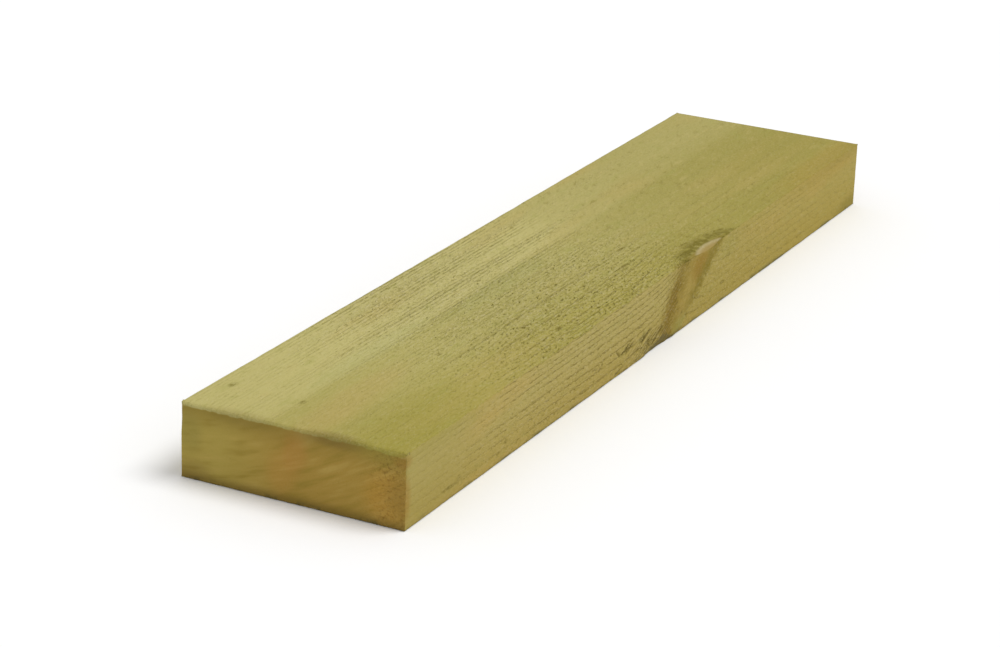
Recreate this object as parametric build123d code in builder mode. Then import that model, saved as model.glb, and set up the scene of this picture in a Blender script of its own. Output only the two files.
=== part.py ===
"""A short length of rough sawn, pressure treated softwood batten, lying flat.

The batten is one piece of stock: sawn to section, cut square at both ends, and
left as it came off the saw. A spike knot runs out through its right edge. The
wood broke away where the knot meets the top arris, and the grain tore out beside
the knot's foot, at the bottom arris. The near end's top arris is worn down, more
and more towards the right.

Millimetres. X runs across the batten, Y along the grain from the near end to the
far end, and Z up. The origin is at the middle of the underside.
"""

import os
from math import hypot, sqrt

from build123d import *

# Sawn size
length = 350.0
width = 75.0
thickness = 24.0

# Long arrises, worn a little round by sawing and handling
arris_radius = 0.6

# Ends, where the cross-cut leaves a fine broken edge
end_bevel = 0.25

# Near end's top arris, worn down to a slope that widens from left to right
wear_left = 0.5
wear_right = 1.4

# Arris broken away over the spike knot, on the right edge at the top
break_place = 210.5  # its middle, from the near end
break_length = 23.0
break_across = 2.6  # how far it runs in across the top face
break_down = 1.0  # how far it runs down the edge
break_radius = 9.0  # the hollow's own radius, across the grain

# Grain torn out beside the knot's foot, on the right edge at the bottom
tear_place = 171.0
tear_length = 26.0
tear_across = 0.8
tear_up = 3.2
tear_radius = 8.0

near_end = -length / 2
right_edge = width / 2


def arris_scoop(face_height, inward, place, scoop_length, across, along_edge, radius):
    """The wood that came away from the right edge's arris, at one wide face's height.

    It is a long spindle, turned about a line that lies beside the arris and along the
    grain. At its middle it meets the wide face `across` from the arris and the edge
    `along_edge` from it, and it runs out through the arris at each end. `inward` is
    the way from the face into the wood: -1 is down and 1 is up.
    """
    chord = hypot(across, along_edge)
    stand_off = sqrt(radius**2 - (chord / 2) ** 2)
    axis_x = -across / 2 + stand_off * along_edge / chord
    axis_z = -along_edge / 2 + stand_off * across / chord
    end_radius = hypot(axis_x, axis_z)
    middle = (right_edge + axis_x, near_end + place, face_height - inward * axis_z)

    with BuildPart() as scoop:
        with BuildSketch(Plane(origin=middle, x_dir=(0, 1, 0), z_dir=(1, 0, 0))):
            with BuildLine():
                side = ThreePointArc(
                    (-scoop_length / 2, end_radius), (0, radius), (scoop_length / 2, end_radius)
                )
                Polyline(side @ 1, (scoop_length / 2, 0), (-scoop_length / 2, 0), side @ 0)
            make_face()
        revolve(axis=Axis(middle, (0, 1, 0)))
    return scoop.part


broken_arris = arris_scoop(
    thickness, -1, break_place, break_length, break_across, break_down, break_radius
)
torn_arris = arris_scoop(0, 1, tear_place, tear_length, tear_across, tear_up, tear_radius)

# The worn slope passes through two places on the top face and one on the near end
worn_top_left = Vector(-right_edge, near_end + wear_left, thickness)
worn_top_right = Vector(right_edge, near_end + wear_right, thickness)
worn_end_right = Vector(right_edge, near_end, thickness - wear_right)
into_wood = (worn_end_right - worn_top_right).cross(worn_top_left - worn_top_right)
worn_slope = Plane(origin=worn_top_right, z_dir=into_wood)

with BuildPart() as batten:
    # Sawn section, run along the grain from the near end
    with BuildSketch(Plane.XZ.offset(length / 2)) as section:
        with Locations((0, thickness / 2)):
            Rectangle(width, thickness)
        fillet(section.vertices(), radius=arris_radius)
    extrude(amount=-length)

    # Square cross-cut ends
    cut_ends = batten.faces().filter_by(Axis.Y)
    chamfer(cut_ends.edges(), length=end_bevel)

    # Worn top arris of the near end
    split(bisect_by=worn_slope, keep=Keep.TOP)

    # Broken and torn arrises of the knotty edge
    add(broken_arris, mode=Mode.SUBTRACT)
    add(torn_arris, mode=Mode.SUBTRACT)

batten.part.label = "batten"

os.makedirs("parts", exist_ok=True)
export_step(batten.part, "parts/batten.step")
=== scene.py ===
import math

import bmesh
import bpy
import numpy as np
from mathutils import Matrix, Vector, noise


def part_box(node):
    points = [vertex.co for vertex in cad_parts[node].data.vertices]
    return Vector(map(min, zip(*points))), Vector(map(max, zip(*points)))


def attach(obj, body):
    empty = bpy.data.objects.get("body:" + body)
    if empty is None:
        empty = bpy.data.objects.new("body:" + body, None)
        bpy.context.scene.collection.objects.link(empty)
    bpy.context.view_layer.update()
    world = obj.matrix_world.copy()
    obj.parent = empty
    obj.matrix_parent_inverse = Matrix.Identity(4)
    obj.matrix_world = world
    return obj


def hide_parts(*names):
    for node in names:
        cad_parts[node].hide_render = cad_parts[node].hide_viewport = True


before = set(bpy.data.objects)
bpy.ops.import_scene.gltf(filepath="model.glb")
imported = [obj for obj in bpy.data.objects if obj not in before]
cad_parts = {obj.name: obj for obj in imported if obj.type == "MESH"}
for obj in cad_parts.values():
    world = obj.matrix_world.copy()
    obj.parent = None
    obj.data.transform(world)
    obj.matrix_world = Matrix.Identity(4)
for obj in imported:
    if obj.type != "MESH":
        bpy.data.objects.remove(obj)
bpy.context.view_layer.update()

# Sawn batten
# One length of softwood, sawn to a plain rectangular section and cut across square at both ends.
# Nothing is fixed to it. The saw leaves the wide faces woolly, the edges lined with the growth
# rings, and the arrises a little ragged.
mm = 0.001
low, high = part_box("batten")
width, length, thickness = (side / mm for side in high - low)

# How many steps of the mesh lie up to each place, closer at the arrises and round the knot
arris_band = 0.9
across_steps, across_places = (0, 4, 60, 114, 118), (0, arris_band, 32, width - arris_band, width)
along_steps, along_places = (0, 5, 57, 193, 236, 240), (0, 2.4, 118, 232, length - 1.5, length)
up_steps, up_places = (0, 4, 54, 58), (0, arris_band, thickness - arris_band, thickness)

sawn = bmesh.new()
bmesh.ops.create_cube(sawn, size=1)
for axis, steps in enumerate((across_steps, along_steps, up_steps)):
    lines = [line for line in sawn.edges if abs((line.verts[1].co - line.verts[0].co)[axis]) > 1e-6]
    bmesh.ops.subdivide_edges(sawn, edges=lines, cuts=steps[-1] - 1, use_grid_fill=True)
batten_mesh = bpy.data.meshes.new("sawn_batten")
sawn.to_mesh(batten_mesh)
sawn.free()

share = np.empty(len(batten_mesh.vertices) * 3)
batten_mesh.vertices.foreach_get("co", share)
share = share.reshape(-1, 3) + 0.5


def stepped(axis, steps, places):
    """Where each vertex lies along one side of the batten, in millimetres from its low corner."""
    return np.interp(np.round(share[:, axis] * steps[-1]), steps, places)


across = stepped(0, across_steps, across_places)
along = stepped(1, along_steps, along_places)
up = stepped(2, up_steps, up_places)
from_edge = np.minimum(across, width - across)
from_end = np.minimum(along, length - along)
from_face = np.minimum(up, thickness - up)
on_edge, on_end, on_wide_face = from_edge == 0, from_end == 0, from_face == 0
on_knotty_edge = across == width


def uneven(size, seed, octaves=2):
    """A smooth random rise and fall, about -1 to 1, in patches of a size in millimetres."""
    spots = np.stack((across, along, up), 1) / size + seed
    return np.array([noise.fractal(spot, 1.0, 2.1, octaves) for spot in spots])


def pulse(value, middle, half_width):
    """1 at the middle of a line, falling smoothly to 0 at a distance of its half width."""
    return np.clip(1 - ((value - middle) / half_width) ** 2, 0, 1)


def eased(value):
    """Goes smoothly from 0 to 1 as the value does, and stays there."""
    value = np.clip(value, 0, 1)
    return value * value * (3 - 2 * value)


# Growth rings
# The batten came from beside the heart of the log, so its rings are shallow arcs about a pith
# that lay above it and past its clear edge. The seasons made them of uneven width, and they
# turn up beside the spike knot that runs out through the other edge.
pith_across, pith_up = -19, 158
innermost_ring = 133.4
ring_widths = (3.3, 3.2, 2.7, 2.9, 2.7, 3.3, 2.0, 2.3, 1.6, 1.7, 1.9, 1.6, 1.7,
               1.7, 1.6, 1.5, 2.1, 2.7, 2.1, 2.2, 2.9, 2.7, 2.6, 2.6, 2.6, 2.6)
ring_edges = innermost_ring + np.concatenate(((0,), np.cumsum(ring_widths)))

# How far a place is past each side of the knot, which leans away from the near end as it rises
foot_left, foot_right = 180.5, 187.6
knot_left = foot_left + 0.5 * up + 0.006 * up**2
knot_right = foot_right + 1.36 * up
past_left = along - knot_left
past_right = along - knot_right
knot_lean = 0.62  # the share of a distance along the batten that lies square across the knot
depth_in = width - across

# How far the rings turn up on each side of the knot, most against it and less the further off
lift_before, lift_after, lift_reach = 10, 4.5, 6
before_knot = np.clip(-past_left, 0, None) * knot_lean
after_knot = np.clip(past_right, 0, None) * knot_lean
rise_before = lift_before * np.exp(-np.hypot(before_knot, 0.9 * depth_in) / lift_reach)
rise_after = lift_after * np.exp(-np.hypot(1.3 * after_knot, 0.9 * depth_in) / lift_reach)
blend = eased(past_left / (knot_right - knot_left))
ring_rise = rise_before * (1 - blend) + rise_after * up / thickness * blend

wander = 0.3 * uneven((60, 130, 60), 3.1, 1) + 0.12 * uneven((7, 22, 7), 8.4)
from_pith = np.hypot(across - pith_across, up - pith_up)
ring = np.interp(from_pith + ring_rise + wander, ring_edges, np.arange(len(ring_edges)))
season = ring % 1  # 0 is spring wood, rising to the dark summer wood at 1
summer_line = np.clip((season - 0.5) / 0.4, 0, 1) * np.clip((1 - season) / 0.1, 0, 1)

# Sawn surface
# How far the saw and the torn fibres leave each face below its full size, in millimetres. The
# saw left fine rows along the wide faces, plainest beside the clear edge, and it cut coarsest
# from a third of the way along to nearly the middle.
woolly = uneven((1.6, 4.5, 1.6), 12.7)
lumpy = uneven((8, 24, 8), 21.3)

# Two sets of rows, which lie in step at one place across and drift apart on both sides of it
in_step, wide_pitch, fine_pitch = 21, 1.7, 1.45
row_place = across - in_step + 0.3 * uneven((9, 60, 9), 5.5)
rows = np.cos(row_place * math.tau / wide_pitch) + np.cos(row_place * math.tau / fine_pitch)
plain_rows = 0.3 + 0.7 * eased((30 - across) / 8)
coarse = (0.35 + 0.65 * eased(along / 105)) * (1 - 0.6 * eased((along - 165) / 120))
lined = 1 - 0.6 * eased((along - 195) / 25)
wide_relief = 0.08 * woolly + 0.04 * rows * plain_rows + 0.03 * summer_line
wide_depth = 0.2 + 0.05 * lumpy + coarse * wide_relief
edge_depth = 0.15 + 0.05 * lumpy + 0.04 * woolly + 0.06 * summer_line * lined
end_depth = 0.17 + 0.03 * woolly + 0.04 * lumpy - 0.03 * summer_line

# Knot
# The knot is harder than the wood round it, so the saw leaves it smoother and a little proud,
# between shallow grooves where the grain turns round it.
in_knot = eased(past_left / 3) * eased(-past_right / 2) * on_knotty_edge
knot_depth = 0.07 + 0.02 * woolly
edge_depth = edge_depth + in_knot * (knot_depth - edge_depth)
for past_side, middle, half_width, depth in ((past_left, -3.5, 3.5, 0.2), (past_right, -1.2, 2.0, 0.15)):
    edge_depth = edge_depth + on_knotty_edge * depth * pulse(past_side, middle, half_width)

# Torn grain
# Slits where the saw lifted the grain out of the edge before the knot. Each is where it starts
# and stops, as places along and up, its half width and its depth. The fibres that it lifted
# stand up in a low lip along the slit's upper side.
torn_slits = (((139.0, 8.8), (141.8, 6.4), 0.55, 0.5), ((142.4, 5.8), (149.6, 8.8), 0.75, 0.9),
              ((146.0, 5.6), (152.8, 8.4), 0.65, 0.75), ((144.6, 8.6), (149.0, 10.2), 0.5, 0.4),
              ((155.8, 6.2), (161.0, 8.6), 0.6, 0.6), ((158.0, 5.4), (165.4, 8.8), 0.75, 0.85),
              ((161.8, 5.0), (167.0, 7.2), 0.55, 0.5), ((155.0, 11.6), (159.0, 11.0), 0.5, 0.5),
              ((120.5, 8.0), (125.6, 7.6), 0.5, 0.4), ((125.4, 5.6), (130.8, 9.9), 0.6, 0.4),
              ((138.0, 0.7), (146.0, 2.2), 0.6, 0.5), ((147.0, 3.2), (157.5, 4.6), 0.5, 0.3),
              ((157.5, 2.0), (167.0, 5.6), 0.5, 0.5), ((161.5, 2.0), (171.0, 5.4), 0.5, 0.5),
              ((166.0, 2.6), (175.0, 6.4), 0.5, 0.5), ((170.5, 3.4), (178.0, 8.2), 0.5, 0.4))
lip_height, lip_off, lip_half_width = 0.12, 1.3, 0.8
torn = np.zeros(len(across))
for start, stop, half_width, depth in torn_slits:
    run_along, run_up = stop[0] - start[0], stop[1] - start[1]
    slit_length = math.hypot(run_along, run_up)
    run = ((along - start[0]) * run_along + (up - start[1]) * run_up) / slit_length
    off = ((up - start[1]) * run_along - (along - start[0]) * run_up) / slit_length + 0.4 * woolly
    taper = np.sqrt(pulse(run, slit_length / 2, slit_length / 2)) * on_knotty_edge
    torn = np.maximum(torn, taper * pulse(off, 0, half_width) * min(1, depth + 0.1))
    edge_depth = edge_depth + taper * depth * pulse(off, 0, half_width)
    edge_depth = edge_depth - taper * lip_height * pulse(off, lip_off, lip_half_width)


# Arrises
# The long arrises are worn a little round, and the cross-cut leaves the ends ragged. The near
# end's top arris is worn to a rounded slope that widens towards the knotty edge.
def rounded(one, other, radius):
    """The distances in from two faces, after the arris between them is rounded."""
    in_corner = (one < radius) & (other < radius)
    reach = np.where(in_corner, np.hypot(radius - one, radius - other), radius)
    pull = radius / reach
    one_in = np.where(in_corner, radius - (radius - one) * pull, one)
    other_in = np.where(in_corner, radius - (radius - other) * pull, other)
    return one_in, other_in


# How far the near end's top arris is worn, at the clear edge and at the knotty edge. The wear
# fades out down the upper half of the end.
wear_clear, wear_knotty = 1.15, 1.65
wear = wear_clear + (wear_knotty - wear_clear) * eased((across - 62) / 12)
worn = (along < length / 2) * eased((up - 13.2) / 6) * wear

arris_radius = 0.55 + 0.2 * uneven((30, 9, 30), 44.0)
cut_radius = np.clip(0.3 + 0.12 * uneven((2.5, 2.5, 2.5), 51.0), 0.05, None)
end_radius = cut_radius + worn * (1 + 0.2 * woolly)
upright_radius = 0.3 + 0.5 * worn
edge_in, face_in = rounded(from_edge, from_face, arris_radius)
end_in, face_in = rounded(from_end, face_in, end_radius)
end_in, edge_in = rounded(end_in, edge_in, upright_radius)

least_depth = 0.02
edge_in = edge_in + on_edge * np.clip(edge_depth, least_depth, None)
face_in = face_in + on_wide_face * np.clip(wide_depth, least_depth, None)
end_in = end_in + on_end * np.clip(end_depth, least_depth, None)
across_now = np.where(across > width / 2, width - edge_in, edge_in)
along_now = np.where(along > length / 2, length - end_in, end_in)
up_now = np.where(up > thickness / 2, thickness - face_in, face_in)


# Broken and torn arrises
# Wood broke off the top arris over the knot, and the grain tore out at the bottom arris beside
# its foot. Both are long shallow scoops in the knotty edge.
def scooped(place, scoop_length, run_across, run_up, radius, face_up, inward, ragged):
    """How far across and up the wood is after the scoop, and how deep inside it the wood was.

    The scoop is turned about a line beside the arris. It opens the wide face at the height
    face_up, from which inward is the way into the wood, -1 down or 1 up, and it varies by ragged.
    """
    chord = math.hypot(run_across, run_up)
    stand_off = math.sqrt(radius**2 - (chord / 2) ** 2)
    axis_off = -run_across / 2 + stand_off * run_up / chord
    axis_out = -run_up / 2 + stand_off * run_across / chord
    dip = radius - math.hypot(axis_off, axis_out)
    bow = ((scoop_length / 2) ** 2 + dip**2) / (2 * dip)
    off_middle = np.clip(np.abs(along - place), 0, bow)
    scoop_radius = radius - bow + np.sqrt(bow**2 - off_middle**2) + ragged
    off_across = across_now - (width + axis_off)
    off_up = up_now - (face_up - inward * axis_out)
    distance = np.hypot(off_across, off_up)
    inside = scoop_radius - distance
    push = np.clip(inside, 0, None) / distance
    return across_now + off_across * push, up_now + off_up * push, inside


break_place, break_length = 210.5, 23
break_across, break_down, break_radius = 2.6, 1.0, 9
across_now, up_now, broken = scooped(
    break_place, break_length, break_across, break_down, break_radius, thickness, -1, 0.1 * woolly)

tear_place, tear_length = 171, 26
tear_across, tear_up, tear_radius = 0.8, 3.2, 8
across_now, up_now = scooped(
    tear_place, tear_length, tear_across, tear_up, tear_radius, 0, 1, 0.25 * woolly)[:2]

places = np.stack((across_now, along_now, up_now), 1) * mm + np.array(low)
batten_mesh.vertices.foreach_set("co", places.astype(np.float32).ravel())
batten_mesh.update()
batten_mesh.shade_smooth()

# What the finish needs to know of each place on the wood: how far it belongs to a wide face or
# an end, and how far it lies inside the painted shadow in the torn hollow, whose height up the edge changes
# along it
blur = 0.9
wide_share = 0.5 + (from_edge + 0.3 - from_face) / (2 * blur)
end_share = 0.5 + (np.minimum(from_edge, from_face - 1.1 * worn) - from_end) / (2 * blur)
hollow_shadow_deepest = 3
hollow_shadow_along, hollow_shadow_heights = (150, 163, 170, 176, 180, 186), (-0.4, 1.3, 2.4, 3.5, 1.7, -0.4)
hollow_shadow_top = np.interp(along, hollow_shadow_along, hollow_shadow_heights)
in_hollow_shadow = np.where(depth_in < hollow_shadow_deepest, hollow_shadow_top - up, -1) - depth_in
known = {"ring": ring, "past_left": past_left, "past_right": past_right, "broken": broken, "torn": torn,
         "painted_hollow_shadow": in_hollow_shadow, "wide_face": np.clip(wide_share, 0, 1), "end_face": np.clip(end_share, 0, 1)}
for name, values in known.items():
    attribute = batten_mesh.attributes.new(name, "FLOAT", "POINT")
    attribute.data.foreach_set("value", values.astype(np.float32))

# The six sides laid flat in one square, lengthwise, with the two ends side by side at the foot.
# Each is an axis and which end of it, the axes that run to the right and upward with a sign each,
# and the corner, the width and the height of its place in the square.
flat_sides = ((2, 1, (1, 1), (0, -1), 0.005, 0.675, 0.99, 0.32),
              (2, 0, (1, 1), (0, 1), 0.005, 0.415, 0.99, 0.25),
              (0, 1, (1, 1), (2, 1), 0.005, 0.275, 0.99, 0.13),
              (0, 0, (1, 1), (2, -1), 0.005, 0.155, 0.99, 0.11),
              (1, 0, (0, 1), (2, 1), 0.005, 0.005, 0.485, 0.14),
              (1, 1, (0, -1), (2, 1), 0.51, 0.005, 0.485, 0.14))
corners = np.empty(len(batten_mesh.loops), dtype=np.int32)
batten_mesh.loops.foreach_get("vertex_index", corners)
square_share = np.stack((across / width, along / length, up / thickness), 1)[corners].reshape(-1, 4, 3)
flat_places = np.zeros((len(square_share), 4, 2))
for axis, which_end, right, upward, left, bottom, wide, tall in flat_sides:
    on_side = (share[corners, axis].reshape(-1, 4) == which_end).all(1)
    for way, (run_axis, sign), start, size in ((0, right, left, wide), (1, upward, bottom, tall)):
        run = square_share[on_side][:, :, run_axis]
        flat_places[on_side, :, way] = start + size * (run if sign > 0 else 1 - run)
flat_map = batten_mesh.uv_layers.new(name="OFBake")
flat_map.data.foreach_set("uv", flat_places.astype(np.float32).ravel())

sawn_batten = bpy.data.objects.new("sawn_batten", batten_mesh)
bpy.context.scene.collection.objects.link(sawn_batten)
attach(sawn_batten, "root")
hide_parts("batten")


# Treated softwood
# Pale softwood under a thin green preservative, which takes to the spring wood and leaves the
# summer wood darker. It is unsealed, so it is matt, and the ends have drunk the most.
def paint(red, green, blue):
    """A colour as it is read off a colour card, 0 to 255, as the light that it gives back."""
    card = np.array((red, green, blue)) / 255
    return (*np.where(card < 0.04045, card / 12.92, ((card + 0.055) / 1.055) ** 2.4), 1)


class Finish:
    """A surface built of shader nodes, one coat over another."""

    def __init__(self, name):
        self.material = bpy.data.materials.new(name)
        self.material.use_nodes = True
        self.tree = self.material.node_tree
        self.tree.nodes.clear()

    def lay(self, kind, feeds, out=0, **settings):
        """Adds a node with its settings, and feeds its sockets a value or another node's output."""
        node = self.tree.nodes.new("ShaderNode" + kind)
        for name, value in settings.items():
            setattr(node, name, value)
        for socket, value in feeds.items():
            if isinstance(value, bpy.types.NodeSocket):
                self.tree.links.new(value, node.inputs[socket])
            else:
                node.inputs[socket].default_value = value
        return node.outputs[out] if node.outputs else None

    def field(self, name):
        return self.lay("Attribute", {}, "Fac", attribute_name=name)

    def sum(self, total, *more):
        for value in more:
            total = self.lay("Math", {0: total, 1: value}, operation="ADD")
        return total

    def times(self, product, *more):
        for value in more:
            product = self.lay("Math", {0: product, 1: value}, operation="MULTIPLY")
        return product

    def rise(self, value, start, end, low=0.0, high=1.0):
        """Goes smoothly from low to high as the value goes from start to end."""
        feeds = {"Value": value, "From Min": start, "From Max": end, "To Min": low, "To Max": high}
        return self.lay("MapRange", feeds, interpolation_type="SMOOTHSTEP")

    def line(self, value, middle, half_width):
        """1 where the value is at the middle, falling smoothly to 0 a half width away."""
        off = self.lay("Math", {0: self.sum(value, -middle)}, operation="ABSOLUTE")
        return self.rise(off, half_width, 0.0)

    def spot(self, place, middle, size):
        """1 at a place, falling smoothly to 0 at the distances given across, along and up."""
        off = self.lay("VectorMath", {0: place, 1: middle}, operation="SUBTRACT")
        off = self.lay("VectorMath", {0: off, 1: size}, operation="DIVIDE")
        return self.rise(self.lay("VectorMath", {0: off}, 1, operation="LENGTH"), 1.0, 0.3)

    def mottle(self, place, size, detail, roughness):
        """Random patches from 0 to 1, about the size given in millimetres across, along and up."""
        scaled = self.lay("VectorMath", {0: place, 1: size}, operation="DIVIDE")
        feeds = {"Vector": scaled, "Scale": 1.0, "Detail": detail, "Roughness": roughness}
        return self.lay("TexNoise", feeds)

    def coat(self, share, under, over):
        """Lays one colour over another, as thickly as share says."""
        return self.lay("Mix", {0: share, 6: under, 7: over}, 2, data_type="RGBA")


wood = Finish("treated_softwood")
position = wood.lay("TexCoord", {}, "Object")
corner = tuple(-np.array(low) / mm)
place = wood.lay("VectorMath", {0: position, 1: (1 / mm,) * 3, 2: corner}, operation="MULTIPLY_ADD")
place_across = wood.lay("SeparateXYZ", {0: place})
place_along, place_up = place_across.node.outputs[1], place_across.node.outputs[2]
past_left, past_right = wood.field("past_left"), wood.field("past_right")
broken_in, hollow_shadow_in, torn_in = wood.field("broken"), wood.field("painted_hollow_shadow"), wood.field("torn")

# Patterns that run through all the wood. The tufts lie aslant to its length
slant = (math.radians(14), 0.0, math.radians(-20))
slanted = wood.lay("Mapping", {"Vector": place, "Rotation": slant})
broad = wood.mottle(place, (14, 80, 14), 2, 0.5)
patches = wood.mottle(place, (3.5, 11, 3.5), 3, 0.6)
clumps = wood.mottle(place, (3, 3, 3), 2, 0.5)
drift = wood.mottle(place, (9, 60, 9), 2, 0.5)
soft_tufts = wood.mottle(slanted, (1.7, 6, 1.7), 3, 0.55)
tufts = wood.mottle(slanted, (0.75, 2.2, 0.75), 2, 0.6)
wool = wood.mottle(place, (0.5, 1.8, 0.5), 2, 0.6)
fibres = wood.mottle(place, (0.32, 7, 0.32), 2, 0.6)
dashes = wood.mottle(place, (0.7, 3.2, 0.7), 2, 0.5)

# Where a place is on a wide face or on an end, with ragged arrises between
arris_wave = wood.sum(wood.field("wide_face"), wood.rise(patches, 0.25, 0.75, -0.25, 0.25))
on_wide = wood.rise(arris_wave, 0.35, 0.6)
end_wave = wood.sum(wood.field("end_face"), wood.rise(clumps, 0.25, 0.75, -0.15, 0.15))
on_end = wood.rise(end_wave, 0.35, 0.6)
off_end = wood.rise(on_end, 1.0, 0.0)

# Wide faces: pale beside the clear edge, and olive from a third of the way across
side = wood.sum(place_across, wood.rise(drift, 0.2, 0.8, -2.0, 2.0))
face = wood.coat(wood.rise(side, 26.0, 33.0), paint(190, 180, 114), paint(178, 168, 98))
face = wood.coat(wood.rise(side, 40.0, 74.0), face, paint(169, 157, 76))
face = wood.coat(wood.rise(place_along, 170.0, 300.0, 0.0, 0.3), face, paint(156, 144, 70))
shaded = wood.times(wood.rise(side, 12.0, 34.0), wood.rise(place_along, 170.0, 300.0, 0.0, 0.4))
face = wood.coat(shaded, face, paint(154, 143, 58))
face = wood.coat(wood.rise(place_along, 180.0, 220.0, 0.0, 0.3), face, paint(148, 138, 68))
near_shade = wood.times(wood.rise(side, 18.0, 46.0, 0.12, 0.42), wood.rise(place_along, 80.0, 5.0))
face = wood.coat(near_shade, face, paint(148, 137, 54))
face = wood.coat(wood.rise(patches, 0.52, 0.75, 0.0, 0.36), face, paint(158, 156, 76))
face = wood.coat(wood.rise(patches, 0.46, 0.25, 0.0, 0.32), face, paint(190, 174, 108))
face = wood.coat(wood.rise(broad, 0.5, 0.75, 0.0, 0.45), face, paint(180, 160, 90))

# Edges: browner, and darker towards the underside, near both ends and past the knot
edge = wood.coat(wood.rise(place_up, 0.0, 20.0), paint(172, 152, 77), paint(179, 163, 94))
edge = wood.coat(wood.rise(place_along, 150.0, 215.0, 0.0, 0.5), edge, paint(164, 145, 60))
edge = wood.coat(wood.rise(place_along, 75.0, 10.0, 0.0, 0.3), edge, paint(150, 136, 66))
edge = wood.coat(wood.rise(patches, 0.52, 0.75, 0.0, 0.4), edge, paint(162, 152, 76))
edge = wood.coat(wood.rise(broad, 0.5, 0.75, 0.0, 0.5), edge, paint(188, 156, 80))

# Ends: darker and browner, in soft bands along the rings, and crumbled beside the knotty edge
ring_place = wood.field("ring")
band_place = wood.lay("CombineXYZ", {0: ring_place, 1: wood.times(place_across, 0.08), 2: 0.0})
bands = wood.lay("TexNoise", {"Vector": band_place, "Scale": 0.8, "Detail": 2.0, "Roughness": 0.6})
end = wood.coat(wood.rise(place_across, 10.0, 40.0), paint(172, 152, 72), paint(168, 138, 61))
end = wood.coat(wood.rise(bands, 0.52, 0.25, 0.0, 0.75), end, paint(148, 126, 46))
end = wood.coat(wood.rise(bands, 0.5, 0.76, 0.0, 0.55), end, paint(186, 160, 84))
lumps = wood.mottle(place, (1.4, 4, 1.1), 2, 0.6)
crumbled = wood.rise(place_across, 60.0, 70.0)
end = wood.coat(wood.times(wood.rise(lumps, 0.47, 0.34, 0.0, 0.75), crumbled), end, paint(122, 93, 36))
end = wood.coat(wood.times(wood.rise(lumps, 0.54, 0.66, 0.0, 0.5), crumbled), end, paint(188, 156, 82))
# Darker bands at the foot and at the top of the end: partly preservative and dirt, partly painted shade
end = wood.coat(wood.rise(place_up, 4.0, 0.4, 0.0, 0.75), end, paint(120, 98, 38))
end = wood.coat(wood.rise(place_up, 15.0, 23.6, 0.0, 0.65), end, paint(138, 117, 46))

colour = wood.coat(on_wide, edge, face)
colour = wood.coat(on_end, colour, end)

# Stains where the preservative took more or less, or resin came through. Each is its middle and
# its reach across, along and up, how strong it is and its colour.
stains = (((34, 0, 9), (7, 9, 9), 0.3, (186, 136, 62)), ((38.5, 0, 16), (6, 9, 9), 0.33, (180, 124, 58)),
          # The dark stains along the top and the foot of the near end are partly painted shade
          ((69, 0, 9), (11, 5, 11), 0.45, (188, 140, 52)), ((74, 0, 21), (5, 5, 3), 0.5, (154, 112, 44)),
          ((3, 0, 15), (6, 5, 9), 0.4, (142, 132, 62)), ((4, 0, 3), (9, 5, 5), 0.3, (122, 98, 44)),
          ((52, 0, 23), (15, 5, 3.5), 0.5, (118, 98, 46)), ((20, 0, 23), (16, 5, 4), 0.3, (126, 108, 44)),
          ((75, 0, 10), (9, 4, 10), 0.6, (150, 120, 50)), ((27, 65, 24), (6, 50, 8), 0.2, (162, 168, 108)),
          ((33, 140, 24), (6, 60, 8), 0.2, (150, 158, 96)), ((41, 28, 24), (8, 45, 8), 0.35, (188, 162, 98)),
          ((66, 22, 24), (16, 50, 8), 0.4, (154, 144, 58)), ((50, 325, 24), (18, 60, 8), 0.3, (150, 138, 56)),
          ((72, 320, 24), (9, 60, 10), 0.4, (170, 142, 62)),
          ((66, 200, 24), (12, 28, 6), 0.3, (150, 140, 56)),
          ((75, 189, 5), (6, 6, 4.5), 0.6, (146, 148, 74)), ((75, 228, 19), (6, 12, 6), 0.3, (158, 152, 74)),
          ((75, 347, 1), (6, 22, 6), 0.5, (132, 118, 40)), ((73, 335, 23), (5, 40, 4), 0.3, (150, 134, 60)))
for middle, reach, strength, tone in stains:
    colour = wood.coat(wood.times(wood.spot(place, middle, reach), strength), colour, paint(*tone))

# Knot, seen on its own edge and about two millimetres in on the wide faces
near_edge = wood.rise(place_across, width - 2.5, width - 0.8)
unsteady = wood.rise(clumps, 0.2, 0.8, -2.4, 2.4)
left_of = wood.sum(past_left, unsteady)
right_of = wood.sum(past_right, unsteady)
body = wood.times(wood.rise(left_of, -3.0, 3.0), wood.rise(right_of, 1.5, -3.0), near_edge)
along_knot = wood.lay("Mapping", {"Vector": place, "Rotation": (math.radians(-46), 0.0, 0.0)})
knot_grain = wood.mottle(along_knot, (1.1, 6, 1.1), 3, 0.6)
knot_tone = wood.coat(wood.rise(place_up, 3.0, 8.0), paint(157, 145, 68), paint(165, 143, 67))
orange = wood.spot(place, (width, 204.5, 18.5), (40.0, 11.0, 8.0))
knot_tone = wood.coat(wood.times(orange, 0.9), knot_tone, paint(148, 119, 37))
knot_tone = wood.coat(wood.rise(knot_grain, 0.48, 0.25, 0.0, 0.5), knot_tone, paint(132, 110, 44))
knot_tone = wood.coat(wood.rise(knot_grain, 0.54, 0.75, 0.0, 0.35), knot_tone, paint(180, 158, 88))
colour = wood.coat(body, colour, knot_tone)
left_share = wood.rise(place_up, 23.0, 15.0, 0.7, 0.95)
left_rim = wood.times(wood.line(left_of, -4.8, 11.0), near_edge, left_share)
colour = wood.coat(left_rim, colour, paint(131, 106, 18))
right_share = wood.rise(place_up, 4.0, 11.0, 0.15, 0.95)
right_rim = wood.times(wood.line(right_of, -1.7, 8.5), near_edge, right_share)
colour = wood.coat(right_rim, colour, paint(135, 118, 34))

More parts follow.
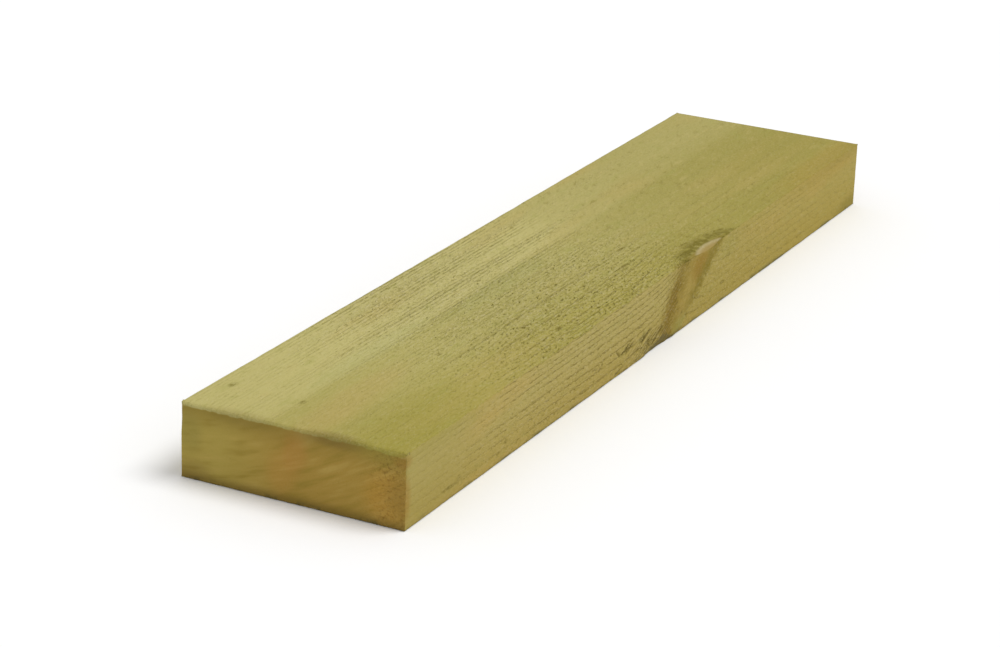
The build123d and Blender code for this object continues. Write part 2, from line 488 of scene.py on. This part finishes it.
# Summer wood: a line at each ring, broken into dashes where the saw crossed the fibres. The lines
# are faint past the knot and on the clear side of the wide faces, and on an end they are plain
# only beside the knotty edge.
coming_along = wood.sum(place_along, wood.rise(on_wide, 0.0, 1.0, 8.0, -16.0))
coming_in = wood.rise(coming_along, 10.0, 105.0, 0.3, 1.0)
ring_now = wood.sum(ring_place, wood.rise(tufts, 0.2, 0.8, -0.14, 0.14))
season_now = wood.lay("Math", {0: ring_now}, operation="FRACT")
summer = wood.times(wood.rise(season_now, 0.72, 0.9), wood.rise(season_now, 1.0, 0.94))
dashed = wood.times(summer, wood.rise(dashes, 0.36, 0.58, 0.35, 1.0))
dashed = wood.times(dashed, wood.rise(body, 0.0, 1.0, 1.0, 0.1))
whole = wood.rise(place_along, 55.0, 110.0, 0.3, 0.85)
whole = wood.times(whole, wood.rise(on_wide, 0.0, 1.0, 1.0, 0.5))
dashed = wood.times(dashed, wood.rise(patches, 0.56, 0.44, whole, 1.0))
dashed = wood.times(dashed, wood.rise(place_along, 190.0, 215.0, 1.0, 0.45))
dashed = wood.times(dashed, wood.rise(place_along, 285.0, 335.0, 1.0, 0.4))
end_lines = wood.rise(place_across, 56.0, 72.0, 0.15, 0.45)
dashed = wood.times(dashed, wood.coat(on_end, coming_in, end_lines))
faint = wood.times(on_wide, wood.rise(place_across, 30.0, 66.0, 1.0, 0.3))
line_share = wood.sum(wood.rise(faint, 0.0, 1.0, 0.64, 0.12), wood.times(left_rim, 0.25))
colour = wood.coat(wood.times(dashed, line_share), colour, paint(114, 98, 22))

# Rows that the saw left along the wide faces
row_wave = wood.sum(place_across, wood.rise(drift, 0.2, 0.8, -0.5, 0.5), -in_step)
wide_rows = wood.lay("Math", {0: wood.times(row_wave, math.tau / wide_pitch)}, operation="COSINE")
fine_rows = wood.lay("Math", {0: wood.times(row_wave, math.tau / fine_pitch)}, operation="COSINE")
groove = wood.rise(wood.sum(wide_rows, fine_rows), 0.0, 1.7)
groove = wood.times(groove, wood.rise(dashes, 0.4, 0.58, 0.25, 1.0))
groove = wood.times(groove, on_wide, wood.rise(place_across, 31.0, 25.0, 0.75, 1.0))
groove = wood.times(groove, wood.rise(place_along, 215.0, 175.0, 0.15, 1.0), coming_in, off_end)
colour = wood.coat(wood.times(groove, 0.55), colour, paint(136, 126, 44))

# Wool and fibres: pale tufts, and dark pits where a tuft pulled out, most of all in the olive wood
# and where the saw cut coarsest. The edges stay coarse for longer than the wide faces.
going_out = wood.sum(place_along, wood.times(wood.rise(place_across, 45.0, 20.0, 53.0, 86.0), on_wide))
coarse_here = wood.times(coming_in, wood.rise(going_out, 210.0, 300.0, 1.0, 0.2))
end_wool = wood.rise(crumbled, 0.0, 1.0, 0.12, 0.3)
calm = wood.times(wood.rise(on_wide, 0.0, 1.0, 0.5, 1.05), coarse_here)
calm = wood.times(wood.coat(on_end, calm, end_wool), wood.rise(body, 0.0, 1.0, 1.0, 0.4))
soft_here = wood.rise(going_out, 195.0, 275.0, 0.1, 0.7)
soft_here = wood.times(soft_here, wood.rise(place_along, 240.0, 320.0, 1.0, 0.6))
soft_here = wood.times(soft_here, off_end, wood.rise(body, 0.0, 1.0, 1.0, 0.3))
soft_dark = wood.times(wood.rise(soft_tufts, 0.44, 0.26, 0.0, 0.6), soft_here)
colour = wood.coat(soft_dark, colour, paint(126, 112, 34))
soft_pale = wood.times(wood.rise(soft_tufts, 0.55, 0.75, 0.0, 0.35), soft_here)
colour = wood.coat(soft_pale, colour, paint(196, 178, 118))
pit_place = wood.sum(tufts, wood.rise(place_across, 20.0, 60.0, 0.03, -0.03))
pits = wood.times(wood.rise(pit_place, 0.38, 0.29), wood.rise(clumps, 0.35, 0.6, 0.4, 0.9), calm)
colour = wood.coat(pits, colour, wood.coat(on_end, paint(110, 100, 24), paint(116, 92, 30)))
pale_calm = wood.times(calm, wood.rise(on_end, 0.0, 1.0, 1.0, 0.25))
pale_tufts = wood.times(wood.rise(tufts, 0.54, 0.7, 0.0, 0.28), pale_calm)
colour = wood.coat(pale_tufts, colour, paint(206, 194, 152))
colour = wood.coat(wood.times(wood.rise(wool, 0.46, 0.3, 0.0, 0.5), calm), colour, paint(124, 114, 34))
colour = wood.coat(wood.times(wood.rise(wool, 0.54, 0.7, 0.0, 0.3), pale_calm), colour, paint(206, 194, 152))
fibre_share = wood.times(wood.rise(fibres, 0.5, 0.3, 0.0, 0.2), off_end, coarse_here)
colour = wood.coat(fibre_share, colour, paint(124, 112, 34))

# Single dark specks. Each is its middle and its reach across, along and up.
specks = (((30.5, 18, 24), (1.4, 2.2, 2)), ((6, 19, 24), (1.6, 3.2, 2)), ((45.5, 73, 24), (1.3, 1.8, 2)),
          ((25, 138, 24), (1.1, 1.8, 2)), ((69, 221, 24), (1.3, 2.4, 2)), ((50.7, 192, 24), (0.9, 4.5, 2)),
          ((58.9, 176, 24), (1.1, 6, 2)), ((66.5, 113, 24), (1.2, 2.6, 2)), ((57, 108, 24), (1.3, 3, 2)),
          ((72.5, 224, 24), (1.6, 2.4, 2)), ((69.5, 226, 24), (1.1, 1.8, 2)), ((71, 229, 24), (1.2, 2, 2)),
          ((69, 209, 24), (1.2, 6, 2)), ((66.5, 207, 24), (0.9, 5, 2)), ((70.5, 199, 24), (1.4, 4, 2)),
          ((75, 190, 6.7), (2, 1.2, 0.9)), ((75, 228, 16), (2, 2.4, 0.9)), ((75, 224, 7), (2, 2.6, 1)),
          ((75, 62, 5.6), (2, 1.8, 1)), ((75, 32, 5), (2, 2, 1.2)), ((75, 26, 4), (2, 6, 0.9)))
speck = 0.0
for middle, reach in specks:
    speck = wood.sum(wood.spot(place, middle, reach), speck)
speck = wood.times(speck, wood.rise(wool, 0.6, 0.4, 0.2, 0.7))
colour = wood.coat(speck, colour, paint(112, 99, 26))

# Grain crowded round the broken arris on the top face
crowd = wood.times(wood.rise(broken_in, -5.0, -1.2), wood.rise(broken_in, 0.1, 0.0))
on_top = wood.rise(place_up, thickness - 0.8, thickness - 0.4)
crowd = wood.times(crowd, on_top, wood.rise(clumps, 0.34, 0.6, 0.25, 0.95))
colour = wood.coat(crowd, colour, paint(118, 107, 28))

# Torn grain: fibres combed down towards the arris, a painted grey shadow in the hollow, and the split wood
comb_pitch = 1.25
comb_shift = wood.rise(tufts, 0.2, 0.8, -0.25, 0.25)
comb_place = wood.sum(place_up, wood.times(place_along, -0.42), comb_shift)
comb_wave = wood.lay("Math", {0: wood.times(comb_place, math.tau / comb_pitch)}, operation="COSINE")
combed = wood.spot(place, (width, 164.0, 3.8), (3.0, 22.0, 6.2))
comb = wood.times(wood.rise(comb_wave, 0.2, 1.0), combed, wood.rise(dashes, 0.35, 0.6, 0.4, 1.0))
colour = wood.coat(wood.times(comb, 0.65), colour, paint(108, 93, 32))
comb_lip = wood.times(wood.rise(comb_wave, -0.3, -1.0), combed, 0.25)
colour = wood.coat(comb_lip, colour, paint(200, 184, 126))
fuzzy = wood.sum(wood.rise(tufts, 0.2, 0.8, -1.0, 1.0), wood.times(comb, 0.9))
# Painted shadow: the torn hollow at the foot of the knotty edge is painted dark grey, where shade falls
painted_hollow_shadow = wood.rise(wood.sum(hollow_shadow_in, fuzzy), -0.4, 0.8)
colour = wood.coat(wood.times(painted_hollow_shadow, 0.62), colour, paint(97, 90, 52))
split = wood.times(wood.rise(torn_in, 0.15, 0.7), wood.rise(wool, 0.65, 0.4, 0.4, 0.8))
colour = wood.coat(split, colour, paint(88, 78, 28))
# The broken arris: pale fresh wood, palest towards the top face, partly its own colour and partly a painted
# highlight where the break catches the light
fresh_wood_and_highlight = wood.times(wood.rise(broken_in, -0.4, 0.15), wood.rise(wool, 0.3, 0.7, 0.7, 0.95))
fresh_wood_and_highlight_tone = wood.rise(place_up, thickness - 0.8, thickness - 0.3)
fresh_wood_and_highlight_tone = wood.coat(fresh_wood_and_highlight_tone, paint(160, 138, 80), paint(178, 163, 118))
colour = wood.coat(fresh_wood_and_highlight, colour, fresh_wood_and_highlight_tone)

# Dark, ragged painted shadow where the batten lies on the floor: all over the underside, and 2 mm up from it
painted_foot_shadow = wood.times(wood.rise(place_up, 1.9, 0.4), wood.rise(patches, 0.5, 0.62))
colour = wood.coat(wood.times(painted_foot_shadow, 0.6), colour, paint(90, 82, 40))

# Relief too fine for the mesh: tufts and wool stand up, and pits, lines and rows lie low
height = wood.sum(wood.times(wood.sum(tufts, -0.5), 0.75), wood.times(wood.sum(wool, -0.5), 0.6))
height = wood.sum(height, wood.times(pits, -0.3))
soft_height = wood.times(wood.sum(soft_tufts, -0.5), soft_here, 1.2)
lump_height = wood.times(wood.sum(lumps, -0.5), crumbled, on_end)
height = wood.sum(wood.times(height, calm), soft_height, lump_height)
height = wood.sum(height, wood.times(fibres, coarse_here, 0.2), wood.times(dashed, -0.25))
height = wood.sum(height, wood.times(wood.sum(groove, comb), -0.4))
relief = wood.lay("Bump", {"Strength": 1.0, "Distance": 0.0006, "Height": height})
rough = wood.rise(wool, 0.2, 0.8, 0.95, 0.78)
skin_feeds = {"Base Color": colour, "Roughness": rough, "Specular IOR Level": 0.25, "Normal": relief}
wood.lay("OutputMaterial", {"Surface": wood.lay("BsdfPrincipled", skin_feeds)})
batten_mesh.materials.append(wood.material)

# Floor
# A plain white floor, which keeps the soft shadow under the batten. It is a little dimmer in the
# light that it throws back on the wood than where it is seen.
floor_mesh = bpy.data.meshes.new("floor")
floor_shape = bmesh.new()
bmesh.ops.create_grid(floor_shape, x_segments=1, y_segments=1, size=20)
floor_shape.to_mesh(floor_mesh)
floor_shape.free()
floor = bpy.data.objects.new("floor", floor_mesh)
bpy.context.scene.collection.objects.link(floor)
paper = Finish("white_floor")
seen = paper.lay("LightPath", {}, "Is Camera Ray")
ways = seen.node.outputs
seen = paper.sum(seen, ways["Is Glossy Ray"], ways["Is Transmission Ray"])
sheet = paper.coat(seen, (0.85, 0.85, 0.85, 1), (1.0, 1.0, 1.0, 1))
paper.lay("OutputMaterial", {"Surface": paper.lay("BsdfDiffuse", {"Color": sheet})})
floor_mesh.materials.append(paper.material)

# Light
# Even white light from all round, and one broad lamp above the knotty edge.
world = bpy.data.worlds.new("studio")
bpy.context.scene.world = world
world.use_nodes = True
world.node_tree.nodes["Background"].inputs["Color"].default_value = (1, 1, 1, 1)
world.node_tree.nodes["Background"].inputs["Strength"].default_value = 0.62
lamp_data = bpy.data.lights.new("broad_lamp", "SUN")
lamp_data.energy = 1.45
lamp_data.angle = math.radians(30)
lamp = bpy.data.objects.new("broad_lamp", lamp_data)
to_lamp = Vector((0.42, 0.2, 0.88))
lamp.rotation_euler = to_lamp.to_track_quat("Z", "Y").to_euler()
bpy.context.scene.collection.objects.link(lamp)

# Camera
# A long lens, looking down along the batten from beyond its near end and its knotty edge. Its
# place is in millimetres from the batten's low corner.
lens_place = Vector((444.123, -679.331, 352.789))
lens_turn, lens_tilt, lens_roll = (math.radians(angle) for angle in (26.686, 20.505, 1.954))
level = math.cos(lens_tilt)
back = Vector((math.sin(lens_turn) * level, -math.cos(lens_turn) * level, math.sin(lens_tilt)))
camera_data = bpy.data.cameras.new("camera")
camera_data.sensor_width = 36
camera_data.lens = 108.26
camera_data.clip_start, camera_data.clip_end = 0.05, 50
camera = bpy.data.objects.new("camera", camera_data)
camera.location = lens_place * mm + low
turn = back.to_track_quat("Z", "Y").to_matrix() @ Matrix.Rotation(lens_roll, 3, "Z")
camera.rotation_euler = turn.to_euler()
bpy.context.scene.collection.objects.link(camera)
bpy.context.scene.camera = camera
bpy.context.scene.view_settings.view_transform = "Standard"
